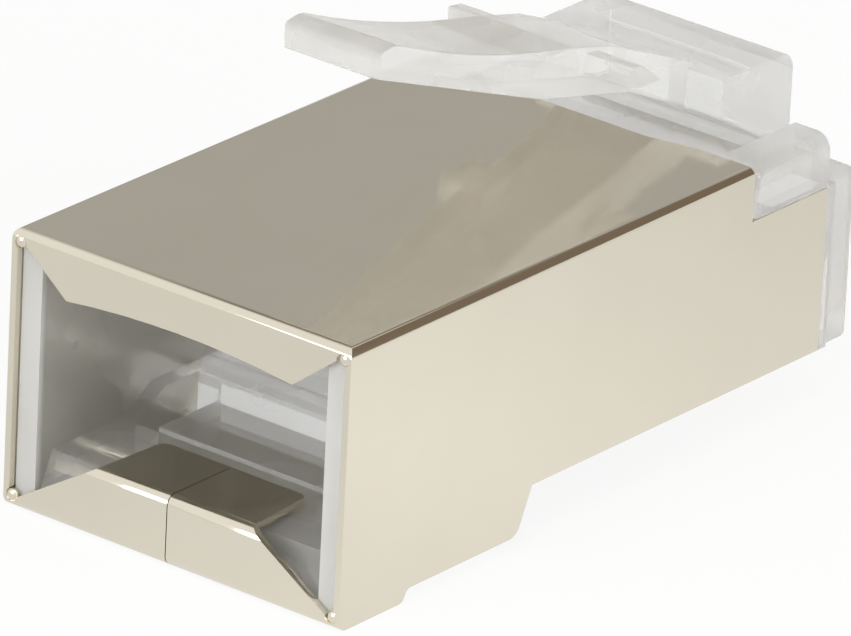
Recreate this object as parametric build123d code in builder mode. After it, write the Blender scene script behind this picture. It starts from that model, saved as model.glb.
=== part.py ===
from build123d import *
import os

os.makedirs("parts", exist_ok=True)

# A shielded eight-way modular plug as it is bought, before a cable is fitted.
# Sizes are millimetres. X is the width, Y runs from the cable entry at the rear to
# the nose, and Z is up: the latch is on top and the contacts are underneath.
# Distances along the plug are measured from its rear face and heights from its
# lowest face, so each side profile below is a list of (distance, height) pairs.
# The origin is the middle of the footprint on the lowest face.

# Overall sizes
plug_width = 11.68
plug_length = 22.50
plug_height = 8.14
nose_height = 6.60

# Shield: one folded sheet
sheet = 0.20
nose_reach = 1.75
collar_rise = 0.16
top_fold_radius = 0.26
rear_fold_radius = 0.32
block_length = 3.40
top_recess_depth = 0.30
top_recess_half_width = 2.30
top_recess_ramp = 1.50
top_recess_radius = 1.00
notch_depth = 1.58
foot_length = 2.68
foot_rise = 0.36
foot_ramp = 0.18
foot_radius = 0.25
belly_length = 7.52
belly_ramp = 0.58
belly_radius = 0.50
flap_length = 7.00
seam_gap = 0.03
seam_offset = -0.15
top_lip_middle = 1.32
top_lip_sagitta = 0.25
top_lip_half_edge = 3.90
bottom_lip_half_edge = 2.65
shelf_gap = 0.21
shelf_fold_radius = 0.30
shelf_length = 2.66
shelf_half_end = 2.50
shelf_corner_radius = 0.30
relief_radius = 0.20

# Housing: one clear moulding
housing_fit = 0.03
core_edge_radius = 0.10
side_wall = 0.68
ceiling_wall = 0.56
chamber_length = 8.20
ledge_width = 0.50
ledge_rear_height = 1.65
ledge_front_height = 2.38
ledge_rear_slope = 0.90
ledge_ramp_start = 3.80
ledge_ramp_end = 5.00
grip_start = 3.77
grip_length = 2.43
grip_ramp = 0.20
grip_rise = 0.15
grip_half_width = 3.60
funnel_length = 5.00
block_width = 1.24
block_edge_radius = 0.50
block_rear_radius = 0.38
nose_depth = 1.52
nose_inset = 0.23
collar_length = 0.33
nose_corner_radius = 0.36
nose_edge_radius = 0.20
pocket_overlap = 0.40
bar_setback = 7.50
bar_length = 3.00
bar_half_width = 4.20
bar_depth = 1.15
bar_tip = 0.80
bar_root = 0.35

# Contacts: gold-plated blades, one in each slot
contact_count = 8
contact_pitch = 1.02
blade_thickness = 0.35
blade_length = 3.20
blade_height = 2.70
blade_proud = 0.42
blade_setback = 1.15
blade_corner_radius = 0.60
tooth_height = 0.62
tooth_half_width = 0.38
tooth_inset = 0.35
slot_clearance = 0.02
wire_channel_radius = 0.45
wire_channel_depth = 2.90
groove_height = 2.10
nose_end_wall = 0.75

# Latch: lever that the fingers press, pivoting at the nose
latch_setback = 0.07
root_half_width = 3.20
root_length = 3.23
root_height = 2.78
root_corner_radius = 0.55
root_heel_drop = 1.13
root_belly_setback = 0.90
root_belly_rise = 0.65
root_clearance = 0.06
hinge_setback = 0.68
knuckle_radius = 0.40
knuckle_clearance = 0.04
tail_half_width = 1.64
neck_half_width = 1.95
neck_flare_length = 1.50
neck_overlap = 0.50
neck_length = 3.00
neck_start_rise = 0.22
neck_rise = 1.46
neck_foot_length = 2.20
neck_foot_drop = 0.15
heel_length = 2.00
heel_rise = 0.50
heel_foot_length = 1.20
heel_thickness = 1.16
pad_length = 7.60
pad_rise = 2.30
pad_sag = 0.23
pad_end_radius = 0.80
tip_length = 0.75
tip_fall = 0.12
tip_thickness = 0.67
tip_edge_radius = 0.30
tip_corner_radius = 0.20
ear_half_width = 3.17
ear_setback = 1.20
ear_sink = 0.18
ear_thickness = 0.58
ear_flat = 0.55
ear_flat_fall = 0.08
ear_foot_fall = 0.14
ear_length = 1.45
ear_fall = 0.75

# Values that several pieces share
half_width = plug_width / 2
rear = -plug_length / 2
nose_bottom = plug_height - nose_height
wall_length = plug_length - nose_reach
wall_nose_bottom = nose_bottom + collar_rise
top_plate_length = wall_length - block_length
notch_floor = plug_height - notch_depth
core_inset = sheet + housing_fit
core_half_width = half_width - core_inset
core_top = plug_height - core_inset
chamber_half_width = core_half_width - side_wall
chamber_ceiling = core_top - ceiling_wall
lane_half_width = chamber_half_width - ledge_width
bottom_lip_height = ledge_rear_height + shelf_gap + sheet
lip_fold_height = bottom_lip_height - shelf_fold_radius
lip_slope = (half_width - sheet - bottom_lip_half_edge) / (bottom_lip_height - sheet)
lip_fold_half_edge = bottom_lip_half_edge + lip_slope * shelf_fold_radius
grip_top = ledge_rear_height + grip_rise
grip_end = grip_start + grip_length
plateau_start = grip_end + grip_ramp
wire_channel_height = nose_bottom + wire_channel_depth
channel_start = chamber_length + funnel_length
channel_end = plug_length - nose_end_wall
blade_front = plug_length - blade_setback
blade_rear = blade_front - blade_length
blade_bottom = nose_bottom - blade_proud
slot_width = blade_thickness + 2 * slot_clearance
nose_top = plug_height - nose_depth
hinge_height = nose_top
root_front = plug_length - latch_setback
root_rear = root_front - root_length
root_top = nose_top + root_height
root_rear_foot = root_top - root_heel_drop
hinge_station = root_front - hinge_setback
bar_end = plug_length - bar_setback
bar_start = bar_end - bar_length

# The latch's upper line is a chain of stations that run back from the root to the tip
neck_top = (root_rear - neck_length, root_top + neck_rise)
pad_front = (neck_top[0] - heel_length, neck_top[1] + heel_rise)
pad_rear = (pad_front[0] - pad_length, pad_front[1] + pad_rise)
pad_middle = ((pad_front[0] + pad_rear[0]) / 2, (pad_front[1] + pad_rear[1]) / 2 - pad_sag)
tip_top = (pad_rear[0] - tip_length, pad_rear[1] - tip_fall)
tip_foot = (tip_top[0], tip_top[1] - tip_thickness)
tail_foot = (pad_front[0] - heel_foot_length, pad_front[1] - heel_thickness)
neck_foot = (root_rear - neck_foot_length, root_top - neck_foot_drop)

# The side plane carries (distance, height) sketches; the plan carries (x, distance)
side_plane = Plane(origin=(0, rear, 0), x_dir=(0, 1, 0), z_dir=(1, 0, 0))
plan_plane = Plane(origin=(0, rear, 0), x_dir=(1, 0, 0), z_dir=(0, 0, 1))


def cross_plane(distance):
    """Plane across the plug at a distance from its rear face, looking at the nose."""
    return Plane(origin=(0, rear + distance, 0), x_dir=(1, 0, 0), z_dir=(0, -1, 0))


def tunnel_shape(inset, edge_radius):
    """Cross-section of the shield inset all round, with its top edges rounded.

    It reaches as far below the plug as above it, so it bounds the sides and the top only.
    """
    with BuildSketch(cross_plane(0)) as tunnel:
        Rectangle(2 * (half_width - inset), 2 * (plug_height - inset))
        fillet(tunnel.vertices(), edge_radius)
    return tunnel.sketch


# Side wall of the shield: a foot at the cable entry, the raised belly behind the
# step, and the shallower nose section
with BuildSketch(side_plane) as wall_shape:
    with BuildLine():
        Polyline(
            (0, 0),
            (foot_length, 0),
            (foot_length + foot_ramp, foot_rise),
            (belly_length, foot_rise),
            (belly_length + belly_ramp, wall_nose_bottom),
            (wall_length, wall_nose_bottom),
            (wall_length, plug_height),
            (0, plug_height),
            close=True,
        )
    make_face()
    rear_corners = wall_shape.vertices().group_by(Axis.X)[0]
    fillet(rear_corners, rear_fold_radius)
    foot_corner = wall_shape.vertices().sort_by_distance((foot_length, 0, 0))[0]
    fillet(foot_corner, foot_radius)
    heel_point = (foot_length + foot_ramp, foot_rise, 0)
    heel_corner = wall_shape.vertices().sort_by_distance(heel_point)[0]
    fillet(heel_corner, foot_radius)
    belly_corner = wall_shape.vertices().sort_by_distance((belly_length, foot_rise, 0))[0]
    fillet(belly_corner, belly_radius)

# Inside of the sheet, run out through the open front and under the nose, where the
# side walls end in a cut edge instead of a flap
with BuildSketch(side_plane) as bore_shape:
    add(wall_shape.sketch_local)
    offset(amount=-sheet, kind=Kind.INTERSECTION)
    with BuildLine():
        Polyline(
            (flap_length, -sheet),
            (wall_length + sheet, -sheet),
            (wall_length + sheet, plug_height - sheet),
            (flap_length, plug_height - sheet),
            close=True,
        )
    make_face()

with BuildPart() as bore:
    extrude(bore_shape.sketch, amount=half_width, both=True)
    inner_fold_radius = top_fold_radius - sheet
    extrude(tunnel_shape(sheet, inner_fold_radius), amount=-plug_length, mode=Mode.INTERSECT)

# The opening between the two rear lips: their ends taper back to the folds, and the
# free edge of the top lip is arched
with BuildSketch(cross_plane(0)) as mouth_shape:
    lip_edge = plug_height - top_lip_middle - top_lip_sagitta
    with BuildLine():
        ThreePointArc(
            (-top_lip_half_edge, lip_edge),
            (0, plug_height - top_lip_middle),
            (top_lip_half_edge, lip_edge),
        )
        Polyline(
            (top_lip_half_edge, lip_edge),
            (half_width - sheet, plug_height - sheet),
            (half_width - sheet, sheet),
            (lip_fold_half_edge, lip_fold_height),
            (-lip_fold_half_edge, lip_fold_height),
            (-half_width + sheet, sheet),
            (-half_width + sheet, plug_height - sheet),
            (-top_lip_half_edge, lip_edge),
        )
    make_face()
    # Round bend reliefs where each lip meets a side wall
    relief_x = half_width - sheet - relief_radius / 2
    relief_low = sheet + relief_radius
    relief_high = plug_height - sheet - relief_radius
    with Locations(
        (relief_x, relief_low),
        (-relief_x, relief_low),
        (relief_x, relief_high),
        (-relief_x, relief_high),
    ):
        Circle(relief_radius)

# Shelf that is folded forward from the top edge of the bottom lip: its side profile
# with the fold, its plan, and the tapering ends that the lip carries on into the fold
with BuildSketch(side_plane) as shelf_shape:
    with BuildLine():
        Polyline(
            (0, 0),
            (0, bottom_lip_height),
            (shelf_length, bottom_lip_height),
            (shelf_length, bottom_lip_height - sheet),
            (sheet, bottom_lip_height - sheet),
            (sheet, 0),
            close=True,
        )
    make_face()
    outer_fold = shelf_shape.vertices().sort_by_distance((0, bottom_lip_height, 0))[0]
    fillet(outer_fold, shelf_fold_radius)
    inner_point = (sheet, bottom_lip_height - sheet, 0)
    inner_fold = shelf_shape.vertices().sort_by_distance(inner_point)[0]
    fillet(inner_fold, shelf_fold_radius - 1.05 * sheet)

with BuildSketch(plan_plane) as shelf_plan:
    with BuildLine():
        Polyline(
            (-lip_fold_half_edge, 0),
            (lip_fold_half_edge, 0),
            (lip_fold_half_edge, sheet),
            (bottom_lip_half_edge, shelf_fold_radius),
            (shelf_half_end, shelf_length),
            (-shelf_half_end, shelf_length),
            (-bottom_lip_half_edge, shelf_fold_radius),
            (-lip_fold_half_edge, sheet),
            close=True,
        )
    make_face()
    fillet(shelf_plan.vertices().group_by(Axis.Y)[-1], shelf_corner_radius)

with BuildSketch(cross_plane(0)) as shelf_ends:
    with BuildLine():
        Polyline(
            (-lip_fold_half_edge, lip_fold_height),
            (lip_fold_half_edge, lip_fold_height),
            (bottom_lip_half_edge, bottom_lip_height),
            (-bottom_lip_half_edge, bottom_lip_height),
            close=True,
        )
    make_face()

with BuildPart() as shelf:
    extrude(shelf_shape.sketch, amount=lip_fold_half_edge, both=True)
    extrude(shelf_plan.sketch, amount=plug_height, mode=Mode.INTERSECT)
    extrude(shelf_ends.sketch, amount=-plug_length, mode=Mode.INTERSECT)

# Front edge of the top plate, set back in the middle where the latch comes down
with BuildSketch(plan_plane) as front_cut_shape:
    recess_station = top_plate_length - top_recess_depth
    ramp_half_width = top_recess_half_width + top_recess_ramp
    with BuildLine():
        Polyline(
            (-plug_width, top_plate_length),
            (-ramp_half_width, top_plate_length),
            (-top_recess_half_width, recess_station),
            (top_recess_half_width, recess_station),
            (ramp_half_width, top_plate_length),
            (plug_width, top_plate_length),
            (plug_width, plug_length),
            (-plug_width, plug_length),
            close=True,
        )
    make_face()
    recess_corners = front_cut_shape.vertices().filter_by_position(
        Axis.Y, recess_station, top_plate_length
    )
    inner_corners = recess_corners.filter_by_position(Axis.X, -ramp_half_width, ramp_half_width)
    fillet(inner_corners, top_recess_radius)

with BuildPart() as shield:
    extrude(wall_shape.sketch, amount=half_width, both=True)
    extrude(tunnel_shape(0, top_fold_radius), amount=-plug_length, mode=Mode.INTERSECT)
    add(bore.part, mode=Mode.SUBTRACT)
    extrude(mouth_shape.sketch, amount=2 * sheet, both=True, mode=Mode.SUBTRACT)
    add(shelf.part)
    # Corner notches that the housing's blocks fill, and the front edge of the top
    with BuildSketch(plan_plane.offset(notch_floor)):
        add(front_cut_shape.sketch_local)
    extrude(amount=plug_height, mode=Mode.SUBTRACT)
    # Butt seam where the two bottom flaps and the halves of the lip and shelf meet
    with BuildSketch(plan_plane.offset(-sheet)):
        with Locations((seam_offset, flap_length / 2)):
            Rectangle(seam_gap, flap_length + 2 * sheet)
    extrude(amount=bottom_lip_height + 2 * sheet, mode=Mode.SUBTRACT)

# Housing: the core fills the shield behind the nose
with BuildSketch(side_plane) as core_shape:
    add(wall_shape.sketch_local)
    offset(amount=-core_inset, kind=Kind.INTERSECTION)

# Cable chamber with its floor, which rises along the ledges at the side walls
with BuildSketch(side_plane) as chamber_shape:
    with BuildLine():
        Polyline(
            (-sheet, 0),
            (core_inset, 0),
            (ledge_rear_slope, ledge_rear_height),
            (ledge_ramp_start, ledge_rear_height),
            (ledge_ramp_end, ledge_front_height),
            (chamber_length, ledge_front_height),
            (chamber_length, chamber_ceiling),
            (-sheet, chamber_ceiling),
            close=True,
        )
    make_face()

# Grip bar on the chamber's floor, which a crimping tool pushes up into the cable's
# jacket: it lies between two slots and rises to the height of the front floor
with BuildSketch(side_plane) as grip_shape:
    with BuildLine():
        Polyline(
            (grip_start, foot_rise + core_inset),
            (grip_start, grip_top),
            (grip_end, grip_top),
            (plateau_start, ledge_front_height),
            (plateau_start + grip_ramp, ledge_front_height),
            (plateau_start + grip_ramp, foot_rise + core_inset),
            close=True,
        )
    make_face()

# Strain-relief window for the conductors on the contact side, with its slanting bar
with BuildSketch(side_plane) as bar_shape:
    with BuildLine():
        Polyline(
            (bar_start, nose_bottom - sheet),
            (bar_end, nose_bottom - sheet),
            (bar_end, nose_bottom + bar_depth),
            (bar_end - bar_tip, nose_bottom + bar_depth),
            (bar_start, nose_bottom + bar_root),
            close=True,
        )
    make_face()

# Corner block on the +X side, rounded where it meets the shield's cut edges
with BuildPart() as block:
    block_middle = half_width - block_width / 2
    block_start = top_plate_length + housing_fit
    with BuildSketch(plan_plane.offset(notch_floor + housing_fit)):
        with Locations((block_middle, (block_start + wall_length) / 2)):
            Rectangle(block_width, wall_length - block_start)
    extrude(amount=notch_depth - housing_fit)
    block_crest = block.faces().sort_by(Axis.Z)[-1].edges().sort_by(Axis.X)[-1]
    fillet(block_crest, block_edge_radius)
    block_rear_face = block.faces().sort_by(Axis.Y)[0]
    rear_outline = block_rear_face.edges().sort_by(Axis.Z)[1:].sort_by(Axis.X)[1:]
    fillet(rear_outline, block_rear_radius)

with BuildPart() as housing:
    nose_start = belly_length + belly_ramp - sheet
    with BuildSketch(plan_plane.offset(nose_bottom)):
        with Locations((0, (nose_start + plug_length) / 2)):
            Rectangle(2 * (half_width - nose_inset), plug_length - nose_start)
    extrude(amount=nose_top - nose_bottom)
    nose_corners = housing.edges().filter_by(Axis.Z).group_by(Axis.Y)[-1]
    fillet(nose_corners, nose_corner_radius)
    nose_rim = housing.faces().sort_by(Axis.Y)[-1].edges().filter_by(Axis.X)
    fillet(nose_rim, nose_edge_radius)
    extrude(core_shape.sketch, amount=core_half_width, both=True)
    core_tunnel = tunnel_shape(core_inset, core_edge_radius)
    extrude(core_tunnel, amount=-2 * plug_length, mode=Mode.INTERSECT)
    # Corner blocks beside the latch, flush with the shield around them
    add(block.part)
    add(mirror(block.part, about=Plane.YZ))
    # Collar that guards the cut front edges of the shield's side walls
    collar_start = wall_length + housing_fit
    with BuildSketch(side_plane):
        with Locations((collar_start + collar_length / 2, (nose_top + wall_nose_bottom) / 2)):
            Rectangle(collar_length, nose_top - wall_nose_bottom)
    extrude(amount=half_width, both=True)
    # Latch pocket between the blocks, level with the top of the nose
    pocket_half_width = half_width - block_width
    pocket_start = top_plate_length - pocket_overlap
    with BuildSketch(plan_plane.offset(nose_top)):
        with Locations((0, (pocket_start + plug_length) / 2)):
            Rectangle(2 * pocket_half_width, plug_length - pocket_start)
    extrude(amount=plug_height, mode=Mode.SUBTRACT)
    # Cable chamber, then the funnel that gathers the conductors
    extrude(chamber_shape.sketch, amount=chamber_half_width, both=True, mode=Mode.SUBTRACT)
    with BuildSketch(plan_plane):
        with Locations((0, (grip_start + plateau_start) / 2)):
            Rectangle(2 * lane_half_width, plateau_start - grip_start)
    extrude(amount=chamber_ceiling, mode=Mode.SUBTRACT)
    extrude(grip_shape.sketch, amount=grip_half_width, both=True)
    channel_row_width = contact_count * contact_pitch
    with BuildSketch(cross_plane(chamber_length)) as funnel_mouth:
        with Locations((0, (ledge_front_height + chamber_ceiling) / 2)):
            Rectangle(2 * lane_half_width, chamber_ceiling - ledge_front_height)
    with BuildSketch(cross_plane(channel_start)) as funnel_throat:
        with Locations((0, wire_channel_height)):
            Rectangle(channel_row_width, 2 * wire_channel_radius)
    loft([funnel_mouth.sketch, funnel_throat.sketch], mode=Mode.SUBTRACT)
    # A channel for each conductor, open underneath to its contact slot
    with BuildSketch(cross_plane(channel_start)):
        with Locations((0, wire_channel_height)):
            with GridLocations(contact_pitch, 0, contact_count, 1):
                Circle(wire_channel_radius)
    extrude(amount=channel_start - channel_end, mode=Mode.SUBTRACT)
    slot_length = blade_length + 2 * slot_clearance
    with BuildSketch(plan_plane.offset(blade_bottom)):
        with Locations((0, blade_rear + blade_length / 2)):
            with GridLocations(contact_pitch, 0, contact_count, 1):
                Rectangle(slot_width, slot_length)
    extrude(amount=wire_channel_height - blade_bottom, mode=Mode.SUBTRACT)
    # Grooves on the nose face that let the spring wires of the jack reach the blades
    with BuildSketch(plan_plane.offset(blade_bottom)):
        with Locations((0, plug_length - blade_setback / 2)):
            with GridLocations(contact_pitch, 0, contact_count, 1):
                Rectangle(slot_width, blade_setback + 2 * sheet)
    extrude(amount=groove_height + blade_proud, mode=Mode.SUBTRACT)
    extrude(bar_shape.sketch, amount=bar_half_width, both=True, mode=Mode.SUBTRACT)
    # Seat of the latch's knuckle across the top of the nose
    seat_half_width = root_half_width + knuckle_clearance
    with BuildSketch(side_plane):
        with Locations((hinge_station, hinge_height)):
            Circle(knuckle_radius + knuckle_clearance)
    extrude(amount=seat_half_width, both=True, mode=Mode.SUBTRACT)

# Latch: side profile of the neck and the tail, with the hollow for a fingertip
with BuildSketch(side_plane) as tail_shape:
    neck_end = root_rear + neck_overlap
    with BuildLine():
        Polyline(
            (neck_end, root_top),
            (root_rear, root_top + neck_start_rise),
            neck_top,
            pad_front,
        )
        ThreePointArc(pad_front, pad_middle, pad_rear)
        Polyline(
            pad_rear,
            tip_top,
            tip_foot,
            tail_foot,
            neck_foot,
            (root_rear, root_rear_foot),
            (neck_end, root_rear_foot),
            (neck_end, root_top),
        )
    make_face()
    fillet(tail_shape.vertices().sort_by_distance((*tip_top, 0))[0], tip_edge_radius)
    fillet(tail_shape.vertices().sort_by_distance((*pad_rear, 0))[0], pad_end_radius)

# Its plan: a parallel tail, flared where the neck joins the root
with BuildSketch(plan_plane.offset(plug_height)) as tail_plan:
    flare_start = root_rear - neck_flare_length
    tail_end = tip_top[0]
    with BuildLine():
        Polyline(
            (-tail_half_width, tail_end),
            (tail_half_width, tail_end),
            (tail_half_width, flare_start),
            (neck_half_width, root_rear),
            (neck_half_width, neck_end),
            (-neck_half_width, neck_end),
            (-neck_half_width, root_rear),
            (-tail_half_width, flare_start),
            close=True,
        )
    make_face()
    fillet(tail_plan.vertices().group_by(Axis.Y)[0], tip_corner_radius)

with BuildPart() as tail:
    extrude(tail_shape.sketch, amount=neck_half_width, both=True)
    extrude(tail_plan.sketch, amount=plug_height, mode=Mode.INTERSECT)

# Root block that stands on the nose, undercut so that it can rock back
with BuildSketch(side_plane) as root_shape:
    with BuildLine():
        Polyline(
            (root_front, hinge_height + root_clearance),
            (root_front, root_top),
            (root_rear, root_top),
            (root_rear, root_rear_foot),
            (hinge_station - root_belly_setback, hinge_height + root_belly_rise),
            (hinge_station - knuckle_radius, hinge_height + knuckle_radius),
            (hinge_station, hinge_height + root_clearance),
            close=True,
        )
    make_face()

# Locking ears behind which the jack's catch drops
with BuildSketch(side_plane) as ear_shape:
    ear_station = neck_top[0] - ear_setback
    ear_top = neck_top[1] + heel_rise * ear_setback / heel_length - ear_sink
    ear_foot = ear_top - ear_thickness
    with BuildLine():
        Polyline(
            (ear_station, ear_foot),
            (ear_station, ear_top),
            (ear_station + ear_flat, ear_top - ear_flat_fall),
            (ear_station + ear_length, ear_top - ear_fall),
            (ear_station + ear_flat, ear_foot - ear_foot_fall),
            close=True,
        )
    make_face()

with BuildPart() as latch:
    extrude(root_shape.sketch, amount=root_half_width, both=True)
    root_front_top = latch.faces().sort_by(Axis.Z)[-1].edges().sort_by(Axis.Y)[-1]
    fillet(root_front_top, root_corner_radius)
    add(tail.part)
    extrude(ear_shape.sketch, amount=ear_half_width, both=True)
    with BuildSketch(side_plane):
        with Locations((hinge_station, hinge_height)):
            Circle(knuckle_radius)
    extrude(amount=root_half_width, both=True)

# Contact blade: a stamped plate with a rounded nose corner and two piercing teeth
with BuildSketch(side_plane) as blade_shape:
    blade_top = blade_bottom + blade_height - tooth_height
    rear_tooth = blade_rear + tooth_half_width + tooth_inset
    front_tooth = blade_front - tooth_half_width - tooth_inset
    with BuildLine():
        Polyline(
            (blade_rear, blade_bottom),
            (blade_front, blade_bottom),
            (blade_front, blade_top),
            (front_tooth + tooth_half_width, blade_top),
            (front_tooth, blade_top + tooth_height),
            (front_tooth - tooth_half_width, blade_top),
            (rear_tooth + tooth_half_width, blade_top),
            (rear_tooth, blade_top + tooth_height),
            (rear_tooth - tooth_half_width, blade_top),
            (blade_rear, blade_top),
            close=True,
        )
    make_face()
    nose_point = (blade_front, blade_bottom, 0)
    fillet(blade_shape.vertices().sort_by_distance(nose_point)[0], blade_corner_radius)
    tail_point = (blade_rear, blade_bottom, 0)
    fillet(blade_shape.vertices().sort_by_distance(tail_point)[0], blade_thickness / 2)

shield.part.label = "shield"
export_step(shield.part, "parts/shield.step")
housing.part.label = "housing"
export_step(housing.part, "parts/housing.step")
latch.part.label = "latch"
export_step(latch.part, "parts/latch.step")

# Contacts are numbered from the -X side
for index in range(contact_count):
    contact_x = (index - (contact_count - 1) / 2) * contact_pitch
    with BuildPart() as contact:
        with BuildSketch(side_plane.offset(contact_x)):
            add(blade_shape.sketch_local)
        extrude(amount=blade_thickness / 2, both=True)
    contact.part.label = f"contact_{index + 1}"
    export_step(contact.part, f"parts/contact_{index + 1}.step")
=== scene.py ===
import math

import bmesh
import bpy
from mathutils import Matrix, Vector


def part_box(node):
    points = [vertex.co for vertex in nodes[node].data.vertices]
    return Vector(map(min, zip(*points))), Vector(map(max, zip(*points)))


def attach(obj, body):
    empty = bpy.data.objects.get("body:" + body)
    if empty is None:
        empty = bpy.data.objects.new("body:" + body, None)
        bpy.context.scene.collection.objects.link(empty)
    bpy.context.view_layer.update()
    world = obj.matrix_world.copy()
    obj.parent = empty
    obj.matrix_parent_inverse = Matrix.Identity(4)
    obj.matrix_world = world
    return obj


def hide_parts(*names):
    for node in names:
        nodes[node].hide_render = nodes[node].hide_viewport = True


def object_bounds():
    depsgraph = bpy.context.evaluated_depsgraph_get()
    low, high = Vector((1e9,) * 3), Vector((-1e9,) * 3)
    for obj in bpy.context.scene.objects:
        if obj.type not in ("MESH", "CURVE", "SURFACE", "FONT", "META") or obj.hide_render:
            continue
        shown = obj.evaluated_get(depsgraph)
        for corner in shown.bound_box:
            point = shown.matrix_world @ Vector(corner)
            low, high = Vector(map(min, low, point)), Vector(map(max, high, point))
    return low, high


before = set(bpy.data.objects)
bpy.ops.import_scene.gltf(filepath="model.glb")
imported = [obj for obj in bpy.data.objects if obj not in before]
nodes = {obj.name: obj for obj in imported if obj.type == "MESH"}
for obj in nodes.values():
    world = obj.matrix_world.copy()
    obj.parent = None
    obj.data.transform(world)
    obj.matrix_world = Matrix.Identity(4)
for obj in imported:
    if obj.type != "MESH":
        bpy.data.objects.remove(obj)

# %% [markdown]
# An ethernet plug, dressed around its CAD frame
#
# The real object is a shielded eight-way modular plug, about 11.7 mm wide, 22.5 long
# and 13.6 high, as it is sold before a cable goes in. A clear moulded housing sits in
# one folded sheet of nickel-plated metal, a springy latch stands on its nose, and
# eight gold-plated blades wait in their slots underneath. The CAD nodes give every
# shape its place. This script adds the finishes, and the fine edges that light shows
# and a CAD model leaves sharp.

MM = 0.001
cad_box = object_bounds()
print("CAD box, mm:", [[round(v / MM, 2) for v in corner] for corner in cad_box])

# %% [markdown]
# The camera
#
# The picture was taken with a long lens from behind and to the right, a little above
# the plug. A long lens keeps parallel edges nearly parallel. The plug leaned on its
# nose by about three degrees then, and here it stays level, so the camera leans
# instead. A camera could be turned by hand until it looks right. Here its place is
# worked out from three angles and three distances, because these came from solving
# the photograph with the plug's known width and height. Azimuth turns around the plug,
# elevation lifts, and roll leans the frame. The distances are along the camera's own
# right, up and back, from the rear of the plug's footprint.

# %% Camera
IMAGE_WIDTH = 851
FOCAL_PIXELS = 12424
SENSOR_WIDTH = 36
AZIMUTH, ELEVATION, ROLL = (math.radians(a) for a in (37.783, 23.448, 2.862))
TO_THE_RIGHT, UPWARDS, BACKWARDS = 6.839 * MM, 6.676 * MM, 331.165 * MM

back = Vector((math.sin(AZIMUTH) * math.cos(ELEVATION),
               -math.cos(AZIMUTH) * math.cos(ELEVATION), math.sin(ELEVATION)))
level_right = Vector((math.cos(AZIMUTH), math.sin(AZIMUTH), 0))
level_up = back.cross(level_right)
right = level_right * math.cos(ROLL) + level_up * math.sin(ROLL)
up = level_up * math.cos(ROLL) - level_right * math.sin(ROLL)
rear_of_footprint = Vector((0, cad_box[0][1], 0))
eye = rear_of_footprint + right * TO_THE_RIGHT + up * UPWARDS + back * BACKWARDS

lens = bpy.data.cameras.new("photo_camera")
lens.sensor_width = SENSOR_WIDTH
lens.lens = SENSOR_WIDTH * FOCAL_PIXELS / IMAGE_WIDTH
lens.clip_start = 0.01
camera = bpy.data.objects.new("photo_camera", lens)
turned = Matrix((right, up, back)).transposed().to_4x4()
camera.matrix_world = Matrix.Translation(eye) @ turned
bpy.context.scene.collection.objects.link(camera)
bpy.context.scene.camera = camera
print("camera at, mm:", [round(v / MM, 1) for v in eye])

# %% [markdown]
# Shader maths in plain Python
#
# A material is a tree of nodes. Writing each link by hand hides what the tree works
# out, so a small class wraps a socket: a sum or a product of two of them adds the Math
# node, and one method makes any other node.

# %% Socket class
class Value:
    """A socket of a node tree that Python's operators work on."""

    def __init__(self, maker, socket):
        self.maker = maker
        self.socket = socket

    def math(self, operation, *others):
        settings = {"operation": operation}
        return self.maker.node("ShaderNodeMath", settings, [self, *others])

    def __add__(self, other):
        return self.math("ADD", other)

    def __sub__(self, other):
        return self.math("SUBTRACT", other)

    def __rsub__(self, other):
        settings = {"operation": "SUBTRACT"}
        return self.maker.node("ShaderNodeMath", settings, [other, self])

    def __mul__(self, other):
        return self.math("MULTIPLY", other)

    __radd__ = __add__
    __rmul__ = __mul__

    def clamped(self):
        """This value, but never under 0 or over 1."""
        return self.math("MAXIMUM", 0.0).math("MINIMUM", 1.0)

    def ramp(self, start, end):
        """0 where this value is at start and 1 where it is at end, eased between them."""
        settings = {"interpolation_type": "SMOOTHSTEP"}
        return self.maker.node("ShaderNodeMapRange", settings, [self, start, end, 0.0, 1.0])


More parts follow.
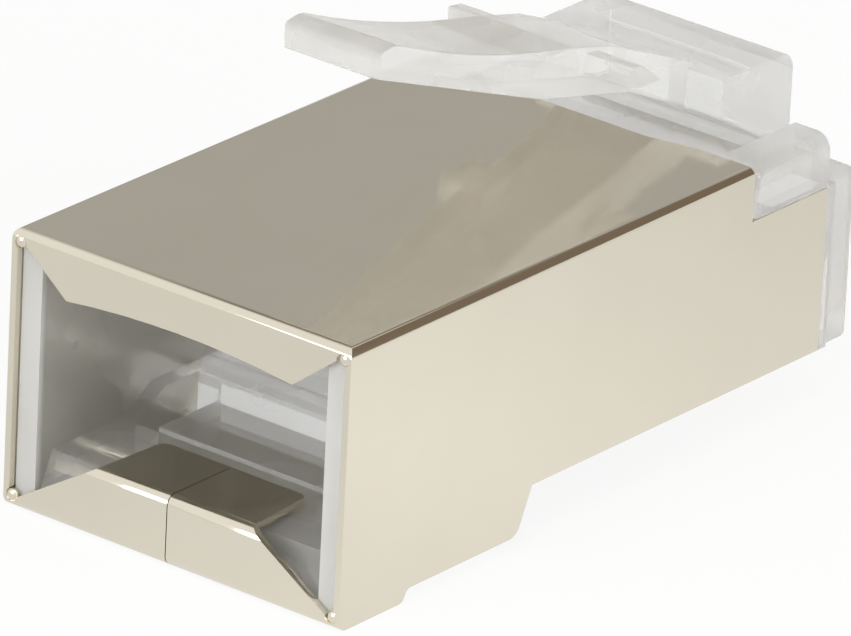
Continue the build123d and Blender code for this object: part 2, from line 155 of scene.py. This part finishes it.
# %% Tree maker
class Maker:
    """Builds one node tree: a material's, a world's or a geometry modifier's."""

    def __init__(self, owner):
        self.owner = owner
        if hasattr(owner, "use_nodes"):
            owner.use_nodes = True
        self.tree = getattr(owner, "node_tree", owner)
        self.tree.nodes.clear()

    def node(self, kind, settings=None, values=None, out=0):
        """Adds a node, sets it up, fills its sockets and gives one of its outputs."""
        made = self.tree.nodes.new(kind)
        settings = dict(settings or {})
        stops = settings.pop("stops", [])
        for key, value in settings.items():
            setattr(made, key, value)
        for index, (place, colour) in enumerate(stops):
            ramp = made.color_ramp.elements
            stop = ramp[index] if index < len(ramp) else ramp.new(1.0)
            stop.position = place
            stop.color = (*colour, 1)
        pairs = values.items() if isinstance(values, dict) else enumerate(values or [])
        for key, value in pairs:
            if isinstance(value, Value):
                self.tree.links.new(value.socket, made.inputs[key])
            elif isinstance(value, tuple) and len(made.inputs[key].default_value) == 4:
                made.inputs[key].default_value = (*value, 1)
            else:
                made.inputs[key].default_value = value
        return Value(self, made.outputs[out]) if made.outputs else made

    def place(self):
        """Where a point is on its piece, in metres: its Object coordinates."""
        return self.node("ShaderNodeTexCoord", out="Object")

    def noise(self, where, per_metre, detail):
        """Soft random patches, about so many of them along a metre."""
        values = {"Vector": where, "Scale": per_metre, "Detail": detail}
        return self.node("ShaderNodeTexNoise", {}, values)

    def mix(self, factor, one, two):
        """Colour one where factor is 0 and colour two where it is 1."""
        # A Mix node has sockets for each kind of data: 6, 7 and output 2 take colours.
        settings = {"data_type": "RGBA"}
        return self.node("ShaderNodeMix", settings, {0: factor, 6: one, 7: two}, out=2)

    def bump(self, height, strength, depth):
        values = {"Strength": strength, "Distance": depth, "Height": height}
        return self.node("ShaderNodeBump", {}, values)

    def finish(self, shader):
        """Sends the shader to the tree's output, and gives the material or world."""
        kind = "World" if isinstance(self.owner, bpy.types.World) else "Material"
        self.node(f"ShaderNodeOutput{kind}", {}, {"Surface": shader})
        print(self.owner.name, "is a tree of", len(self.tree.nodes), "nodes")
        return self.owner


def new_material(name):
    return Maker(bpy.data.materials.new(name))


# %% [markdown]
# The floor
#
# The plug stood on white. A floor that only takes light would turn grey around it, so
# the floor glows a little for the camera, for mirrors and through clear plastic. It
# still takes light as well, and that part keeps the plug's shadow. What mirrors see of
# the glow is a painted pool of light: brightest beside the plug's right side, it fades
# away from there, because that is what the shield's two walls show.

# %% Floor
PAINTED_POOL_CENTRE = (14 * MM, -2 * MM, 0)
FADING_PER_METRE = 9.0
LEAST_GLOW = 0.78
GLOWING_SHARE = 0.88
REACH = 0.6
GAP_UNDER_PLUG = 0.01 * MM

maker = new_material("white_floor")
camera_ray = maker.node("ShaderNodeLightPath", out="Is Camera Ray")
mirror_ray = maker.node("ShaderNodeLightPath", out="Is Glossy Ray")
glass_ray = maker.node("ShaderNodeLightPath", out="Is Transmission Ray")
seen = (camera_ray + mirror_ray + glass_ray).clamped()
# Painted pool of light: the glow that mirrors and clear plastic see fades with distance
# from a point beside the plug's right side.
away = maker.node("ShaderNodeVectorMath", {"operation": "DISTANCE"},
                  [maker.place(), PAINTED_POOL_CENTRE], out="Value")
fading = 1.0 - away * FADING_PER_METRE
glow = (camera_ray + fading).math("MAXIMUM", LEAST_GLOW).math("MINIMUM", 1.0)
lit = maker.node("ShaderNodeBsdfDiffuse", {}, {"Color": (0.86, 0.86, 0.85)})
white = maker.node("ShaderNodeEmission", {}, {"Color": (1, 1, 1), "Strength": glow})
floor_paint = maker.finish(maker.node(
    "ShaderNodeMixShader", {}, [seen * GLOWING_SHARE, lit, white]))

outline = [(-REACH, -REACH, 0), (REACH, -REACH, 0), (REACH, REACH, 0), (-REACH, REACH, 0)]
floor_mesh = bpy.data.meshes.new("floor")
floor_mesh.from_pydata(outline, [], [(0, 1, 2, 3)])
floor_mesh.materials.append(floor_paint)
floor = bpy.data.objects.new("floor", floor_mesh)
floor.location.z = cad_box[0][2] - GAP_UNDER_PLUG
bpy.context.scene.collection.objects.link(floor)
print("floor at, mm:", round(floor.location.z / MM, 3))

# %% [markdown]
# The tent
#
# Metal shows what is around it. The photograph's plug stood in a white tent that was
# darker behind the plug: its flat top mirrors a mid grey, its rear fold a darker band
# above that, and the fold along its right edge mirrors a brown corner. Boards could be
# stood around the plug for this. A world of soft bands does the same with no edges to
# show, and it lights the plug evenly. The rest of the tent is white, and the camera
# sees plain white everywhere.

# %% World
# Each band: the height where it is, from 0 at the horizon to 1 overhead, and its colour.
BANDS_BEHIND = [
    (0.0, (0.40, 0.38, 0.36)), (0.40, (0.46, 0.45, 0.44)), (0.52, (0.43, 0.42, 0.41)),
    (0.66, (0.24, 0.20, 0.165)), (0.80, (0.34, 0.31, 0.28)), (0.93, (0.95, 0.95, 0.94))]
BEHIND_STARTS, BEHIND_IS_FULL = 0.0, 0.34
CORNER_TOWARDS = (0.517, 0.776, 0.362)
CORNER_STARTS, CORNER_IS_FULL = 0.62, 0.84
CORNER_BROWN = (0.21, 0.165, 0.125)
TENT_WHITE = (0.93, 0.93, 0.92)

tent = bpy.data.worlds.new("tent")
bpy.context.scene.world = tent
maker = Maker(tent)
direction = maker.node("ShaderNodeTexCoord", out="Generated")
height = maker.node("ShaderNodeSeparateXYZ", {}, [direction], out="Z")
depth = maker.node("ShaderNodeSeparateXYZ", {}, [direction], out="Y")
bands = maker.node("ShaderNodeValToRGB", {"stops": BANDS_BEHIND}, [height])
facing_corner = maker.node("ShaderNodeVectorMath", {"operation": "DOT_PRODUCT"},
                           [direction, CORNER_TOWARDS], out="Value")
corner = facing_corner.ramp(CORNER_STARTS, CORNER_IS_FULL)
behind = maker.mix(corner, bands, CORNER_BROWN)
around = maker.mix(depth.ramp(BEHIND_STARTS, BEHIND_IS_FULL), TENT_WHITE, behind)
camera_ray = maker.node("ShaderNodeLightPath", out="Is Camera Ray")
around = maker.mix(camera_ray, around, (1.0, 1.0, 1.0))
maker.finish(maker.node("ShaderNodeBackground", {}, {"Color": around, "Strength": 1.0}))

# %% [markdown]
# The lamps
#
# The tent alone would leave no shadow and no gloss. Small lamps would give hard sparks
# on the metal, so three large soft ones stand far off, as lamps behind a tent's cloth
# do. The first is the main light from above, the second looks into the cable entry,
# and the third brightens the right side.

# %% Lamps
AIM = Vector((0, 0, 6 * MM))


def soft_lamp(name, where, size, power):
    """A square lamp, in millimetres and watts, that faces the middle of the plug."""
    light = bpy.data.lights.new(name, "AREA")
    light.size = size * MM
    light.energy = power
    lamp = bpy.data.objects.new(name, light)
    lamp.location = Vector(where) * MM
    lamp.rotation_euler = (AIM - lamp.location).to_track_quat("-Z", "Y").to_euler()
    bpy.context.scene.collection.objects.link(lamp)
    print(name, "stands", round(lamp.location.length / MM), "mm away")


soft_lamp("key_lamp", (60, -150, 190), 90, 0.09)
soft_lamp("mouth_lamp", (-60, -220, 60), 120, 0.15)
soft_lamp("side_lamp", (220, 10, 90), 120, 0.26)

# %% [markdown]
# Nickel-plated sheet
#
# The shield is thin sheet with bright nickel on it, which has a warm tone beside
# chrome. It mirrors the tent, but the rolled sheet under the plating blurs that
# mirror a little. One flat metal would look like a mirror of glass. A fine grain
# changes the roughness and dents the surface by a hair, and a broad cloud shifts the
# tone, so the blur and the colour drift as they do on the real sheet.

# %% Nickel
GRAIN_PER_METRE = 2600.0
CLOUD_PER_METRE = 260.0
GRAIN_DEPTH = 0.02 * MM

maker = new_material("nickel_sheet")
where = maker.place()
grain = maker.noise(where, GRAIN_PER_METRE, 3.0)
cloud = maker.noise(where, CLOUD_PER_METRE, 3.0)
nickel = maker.finish(maker.node("ShaderNodeBsdfPrincipled", {}, {
    "Base Color": maker.mix(cloud, (0.775, 0.72, 0.60), (0.825, 0.775, 0.655)),
    "Metallic": 1.0,
    "Roughness": grain * 0.06 + 0.08,
    "Normal": maker.bump(grain, 0.10, GRAIN_DEPTH)}))

# %% [markdown]
# Clear plastic
#
# The housing and the latch are clear polycarbonate, moulded and a little milky. Plain
# glass would turn nearly black where many walls stand behind each other, because the
# light is bent at each one. So three things are mixed: glass, a share that lets the
# light straight through, and milk that scatters it, some of it forwards. The moulding's
# flow lines make faint waves. The cut ends beside the cable entry get more milk, a
# painted glow standing in for the light that the walls carry back from the nose.

# %% Clear plastic
MILK = 0.20
CLEARNESS = 0.42
MILK_THAT_LETS_THROUGH = 0.3
MILK_COLOUR = (0.96, 0.96, 0.945)
FLOW_PER_METRE = 260.0
FLOW_DEPTH = 0.05 * MM
END_GLOW_STARTS, END_GLOW_IS_FULL = (cad_box[0][1] + d * MM for d in (0.5, 0.26))

maker = new_material("clear_plastic")
where = maker.place()
flow = maker.noise(where, FLOW_PER_METRE, 2.0)
waves = maker.bump(flow, 0.12, FLOW_DEPTH)
along = maker.node("ShaderNodeSeparateXYZ", {}, [where], out="Y")
# Painted light: more milk towards the rear cut ends, standing in for light the walls carry
# from the nose.
painted_end_glow = along.ramp(END_GLOW_STARTS, END_GLOW_IS_FULL)
glass = maker.node("ShaderNodeBsdfPrincipled", {}, {
    "Base Color": (0.985, 0.985, 0.975),
    "Roughness": flow * 0.06 + 0.03,
    "IOR": 1.40,
    "Transmission Weight": 1.0,
    "Alpha": 1 - CLEARNESS,
    "Normal": waves})
milk_paint = {"Color": MILK_COLOUR, "Normal": waves}
milk_front = maker.node("ShaderNodeBsdfDiffuse", {}, milk_paint)
milk_through = maker.node("ShaderNodeBsdfTranslucent", {}, milk_paint)
milk = maker.node("ShaderNodeMixShader", {}, [
    MILK_THAT_LETS_THROUGH, milk_front, milk_through])
milkiness = (flow * 0.1 + MILK + painted_end_glow * 0.4).clamped()
clear = maker.finish(maker.node("ShaderNodeMixShader", {}, [milkiness, glass, milk]))

# %% [markdown]
# Gold
#
# The blades are bronze with a flash of gold. Gold is a metal with a yellow mirror, so
# a metallic shader of that colour is all it needs. The flash is thin and its strip was
# handled in reels, so a fine smear makes it duller and a little paler in places.

# %% Gold
SMEAR_PER_METRE = 1200.0

maker = new_material("gold_blade")
smear = maker.noise(maker.place(), SMEAR_PER_METRE, 2.0)
gold = maker.finish(maker.node("ShaderNodeBsdfPrincipled", {}, {
    "Base Color": maker.mix(smear, (0.93, 0.69, 0.30), (0.97, 0.76, 0.37)),
    "Metallic": 1.0,
    "Roughness": smear * 0.12 + 0.14}))

# %% [markdown]
# Soft edges
#
# No real edge is a perfect corner. A cut in sheet metal has a tiny burr that catches
# the light, and a moulding has a small radius where the steel of the mould was
# polished. A rounded-edge shader would only fake it, so a narrow bevel gives each edge
# that line of light. A CAD node's mesh is loose triangles, so each piece is a copy
# whose doubled corners are welded and whose flat faces are made whole first. Normals
# weighted by face area keep the flat faces flat beside their bevels.

# %% Welded copies
WELD = 0.0005 * MM
STILL_FLAT = math.radians(0.5)
SHARP = math.radians(32)
EDGE_STEPS = 2


def welded(node_name):
    """A copy of a CAD node's mesh, welded and with its flat faces made whole."""
    work = bmesh.new()
    work.from_mesh(nodes[node_name].data)
    bmesh.ops.remove_doubles(work, verts=work.verts, dist=WELD)
    bmesh.ops.dissolve_limit(work, angle_limit=STILL_FLAT,
                             verts=work.verts, edges=work.edges)
    return work


def kept(work, name):
    """Turns what was worked on into a mesh of that name."""
    mesh = bpy.data.meshes.new(name)
    work.to_mesh(mesh)
    work.free()
    return mesh


# %% Softened pieces
def softened(name, node_name, width, material, body):
    """A welded copy of a CAD node with its sharp edges bevelled, which stands for it."""
    mesh = kept(welded(node_name), name)
    mesh.materials.append(material)
    mesh.shade_smooth()
    piece = bpy.data.objects.new(name, mesh)
    bpy.context.scene.collection.objects.link(piece)
    bevel = piece.modifiers.new("soft_edges", "BEVEL")
    bevel.width = width * MM
    bevel.segments = EDGE_STEPS
    bevel.limit_method = "ANGLE"
    bevel.angle_limit = SHARP
    bevel.use_clamp_overlap = True
    weigh = piece.modifiers.new("flat_faces_stay_flat", "WEIGHTED_NORMAL")
    weigh.mode = "FACE_AREA"
    weigh.weight = 100
    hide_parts(node_name)
    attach(piece, body)
    print(name, "has", len(mesh.polygons), "faces before its bevel")


softened("shield_sheet", "shield", 0.04, nickel, "plug")
softened("clear_housing", "housing", 0.04, clear, "plug")
softened("press_latch", "latch", 0.07, clear, "latch_lever")

# %% [markdown]
# Trees that grow geometry
#
# What repeats on the plug, such as its corner beads and its blades, is one shape set
# in many places. Copies placed by hand would be hard to change, so a Geometry Nodes
# tree takes the shape and its sizes as named inputs and sets the copies. Three short
# helpers start a tree, end it, and keep what it grew as a plain mesh.

# %% Geometry tree helpers
def geometry_tree(name, inputs):
    """An empty modifier tree with named inputs; gives its maker and its input sockets."""
    tree = bpy.data.node_groups.new(name, "GeometryNodeTree")
    maker = Maker(tree)
    for label, kind in inputs:
        tree.interface.new_socket(label, in_out="INPUT", socket_type=kind)
    tree.interface.new_socket("Geometry", in_out="OUTPUT", socket_type="NodeSocketGeometry")
    entry = tree.nodes.new("NodeGroupInput")
    return maker, {label: Value(maker, entry.outputs[label]) for label, _ in inputs}


def end_tree(maker, geometry, material):
    """Realize Instances and Set Material, which every tree ends in."""
    real = maker.node("GeometryNodeRealizeInstances", {}, {"Geometry": geometry})
    painted = maker.node("GeometryNodeSetMaterial", {}, {
        "Geometry": real, "Material": material})
    maker.node("NodeGroupOutput", {}, {"Geometry": painted})


def grown(name, start_mesh, maker, sizes, body):
    """Runs a tree on a start mesh and keeps the result as a plain mesh on a body."""
    seed = bpy.data.objects.new(name + "_seed", start_mesh)
    bpy.context.scene.collection.objects.link(seed)
    run = seed.modifiers.new(name, "NODES")
    run.node_group = maker.tree
    for item in maker.tree.interface.items_tree:
        if item.in_out == "INPUT" and item.name in sizes:
            run[item.identifier] = sizes[item.name]
    graph = bpy.context.evaluated_depsgraph_get()
    mesh = bpy.data.meshes.new_from_object(seed.evaluated_get(graph), depsgraph=graph)
    bpy.data.objects.remove(seed)
    piece = bpy.data.objects.new(name, mesh)
    bpy.context.scene.collection.objects.link(piece)
    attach(piece, body)
    print(name, "has", len(mesh.polygons), "faces")
    return piece


# %% [markdown]
# Corner beads
#
# Where two folds of the sheet meet at a corner of the mouth, the metal has nowhere to
# go and swells into a small bright bead in the round bend relief. A squashed ball in
# each relief does this, made once and set on the four corners by Geometry Nodes. The
# corners are read from the shield's own box, so the beads stay in its sheet.

# %% Corner beads
SHEET = 0.20 * MM
BEAD_RADIUS = 0.95 * SHEET
BEAD_SQUASH = (1.0, 0.62, 1.0)
FROM_SIDE, FROM_REAR, FROM_TOP = 1.3 * SHEET, 0.5 * SHEET, 1.8 * SHEET

low, high = (Vector(c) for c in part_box("shield"))
corners = [(x, low.y + FROM_REAR, z)
           for x in (low.x + FROM_SIDE, high.x - FROM_SIDE)
           for z in (low.z + FROM_TOP, high.z - FROM_TOP)]
corner_mesh = bpy.data.meshes.new("mouth_corners")
corner_mesh.from_pydata(corners, [], [])
maker, sockets = geometry_tree("corner_beads", [
    ("Geometry", "NodeSocketGeometry"), ("Bead radius", "NodeSocketFloat")])
ball = maker.node("GeometryNodeMeshUVSphere", {}, {
    "Segments": 24, "Rings": 12, "Radius": sockets["Bead radius"]})
smooth_ball = maker.node("GeometryNodeSetShadeSmooth", {}, {"Geometry": ball})
places = maker.node("GeometryNodeMeshToPoints", {}, {"Mesh": sockets["Geometry"]})
beads = maker.node("GeometryNodeInstanceOnPoints", {}, {
    "Points": places, "Instance": smooth_ball, "Scale": BEAD_SQUASH})
end_tree(maker, beads, nickel)
grown("corner_beads", corner_mesh, maker, {"Bead radius": BEAD_RADIUS},
      "plug")

# %% [markdown]
# Contact blades
#
# The eight blades are stamped from one strip, so they are one shape at an even pitch.
# One welded copy of the first blade with softened edges is repeated by Geometry Nodes,
# and its pitch and count come from where the CAD blades stand.

# %% One blade
BLADE_EDGE = 0.03 * MM

work = welded("contact_1")
rims = [e for e in work.edges if len(e.link_faces) == 2 and e.calc_face_angle() > SHARP]
bmesh.ops.bevel(work, geom=rims, offset=BLADE_EDGE, segments=EDGE_STEPS, profile=0.5,
                affect="EDGES")
blade_mesh = kept(work, "one_blade")
print("one blade has", len(blade_mesh.polygons), "faces and", len(rims), "softened edges")

# %% Row of blades
first, last = (Vector(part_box(name)[0]) for name in ("contact_1", "contact_8"))
count = sum(name.startswith("contact") for name in nodes)
pitch = (last.x - first.x) / (count - 1)
maker, sockets = geometry_tree("blade_row", [
    ("Geometry", "NodeSocketGeometry"), ("Count", "NodeSocketInt"),
    ("Pitch", "NodeSocketFloat")])
step = maker.node("ShaderNodeCombineXYZ", {}, {"X": sockets["Pitch"]})
stations = maker.node("GeometryNodeMeshLine", {}, {
    "Count": sockets["Count"], "Offset": step})
row = maker.node("GeometryNodeInstanceOnPoints", {}, {
    "Points": stations, "Instance": sockets["Geometry"]})
end_tree(maker, row, gold)
blades = grown("contact_blades", blade_mesh, maker, {"Count": count, "Pitch": pitch},
               "plug")
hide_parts(*[name for name in nodes if name.startswith("contact")])
print(count, "blades at a pitch of", round(pitch / MM, 2), "mm")

# %% [markdown]
# The end
#
# Colours show as they are written with the Standard view.

# %% The end
bpy.context.scene.view_settings.view_transform = "Standard"
